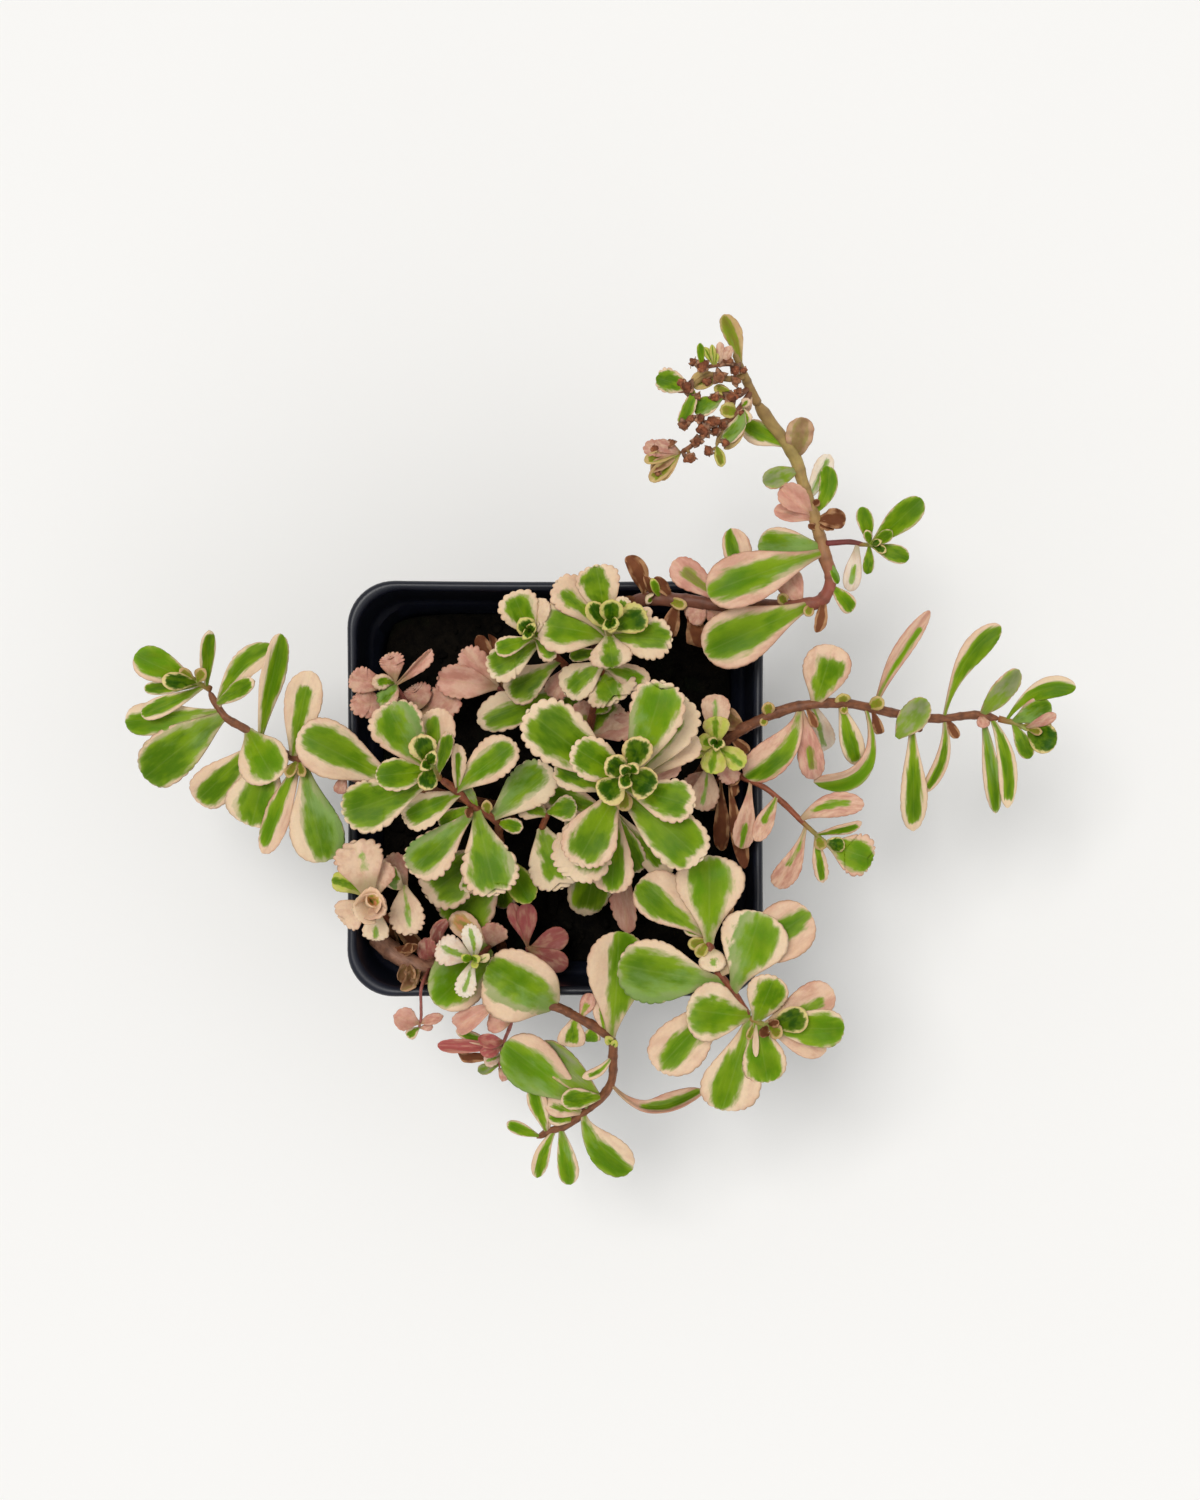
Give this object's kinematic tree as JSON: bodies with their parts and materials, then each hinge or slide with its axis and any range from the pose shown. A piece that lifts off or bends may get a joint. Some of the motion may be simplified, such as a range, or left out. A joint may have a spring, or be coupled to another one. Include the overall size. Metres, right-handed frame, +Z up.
{
  "type": "potted variegated stonecrop",
  "caption": "Square black nursery pot with a trailing variegated stonecrop: scalloped green and cream leaves in rosettes on red-brown stems, and an old flower head.",
  "frame": {"origin": "middle of the pot's underside, on the surface that it stands on", "axes": "+Z up; +X to the right and +Y to the top of the picture, which looks straight down; the pot's sides are square to X and Y"},
  "size_m": [0.2276, 0.2052, 0.1375],
  "materials": {
    "pot_plastic": "thin black moulded polypropylene, satin, a little dusty inside",
    "potting_mix": "dark damp peat and bark crumbs",
    "stem_bark": "thin red-brown bark with leaf scars, satin",
    "variegated_leaf": "fleshy leaf, green middle, cream to pink scalloped margin, soft waxy sheen",
    "dry_flowers": "dry brown papery flowers on olive stalks"
  },
  "bodies": {
    "root": {"pot": "pot_plastic", "potting_mix": "potting_mix", "left_rosette_stem": "stem_bark", "left_rosette_leaves": "variegated_leaf", "left_branch_stem": "stem_bark", "left_branch_tip": "variegated_leaf", "centre_stem": "stem_bark", "centre_rosette": "variegated_leaf", "top_rosette_stem": "stem_bark", "top_rosette": "variegated_leaf", "top_left_rosette_stem": "stem_bark", "top_left_rosette": "variegated_leaf", "middle_shoot_stem": "stem_bark", "yellow_shoot_stem": "stem_bark", "yellow_rosette": "variegated_leaf", "flowering_stem": "stem_bark", "side_shoot": "variegated_leaf", "right_branch_stem": "stem_bark", "right_branch_tip": "variegated_leaf", "lower_right_side_shoot": "variegated_leaf", "lower_right_branch_stem": "stem_bark", "lower_right_branch_tip": "variegated_leaf", "bottom_branch_stem": "stem_bark", "pink_shoot_stem": "stem_bark", "lower_pink_shoot_stem": "stem_bark", "old_woody_stem": "stem_bark", "corner_rosette_stem": "stem_bark", "corner_rosette": "variegated_leaf", "corner_side_shoot": "variegated_leaf", "upper_left_pink_stem": "stem_bark", "pink_shoot_middle_stem": "stem_bark", "white_rosette_stem": "stem_bark", "white_rosette": "variegated_leaf", "deep_pink_shoot_stem": "stem_bark", "flower_head": "dry_flowers", "left_branch_leaf_1": "variegated_leaf", "left_branch_leaf_2": "variegated_leaf", "left_branch_leaf_3": "variegated_leaf", "left_branch_leaf_4": "variegated_leaf", "left_branch_leaf_5": "variegated_leaf", "left_rosette_lower_leaf_1": "variegated_leaf", "left_rosette_lower_leaf_2": "variegated_leaf", "bottom_leaf_1": "variegated_leaf", "bottom_leaf_2": "variegated_leaf", "bottom_leaf_3": "variegated_leaf", "flowering_branch_leaf_1": "variegated_leaf", "flowering_branch_leaf_2": "variegated_leaf", "right_branch_leaf_1": "variegated_leaf", "right_branch_leaf_2": "variegated_leaf", "right_branch_leaf_3": "variegated_leaf", "right_branch_leaf_4": "variegated_leaf", "right_branch_leaf_5": "variegated_leaf", "lower_right_branch_leaf_1": "variegated_leaf", "lower_right_branch_leaf_2": "variegated_leaf", "lower_right_branch_leaf_3": "variegated_leaf", "lower_right_branch_leaf_4": "variegated_leaf", "bottom_leaf_4": "variegated_leaf", "lower_right_branch_leaf_5": "variegated_leaf", "lower_right_branch_leaf_6": "variegated_leaf"}
  },
  "joints": []
}
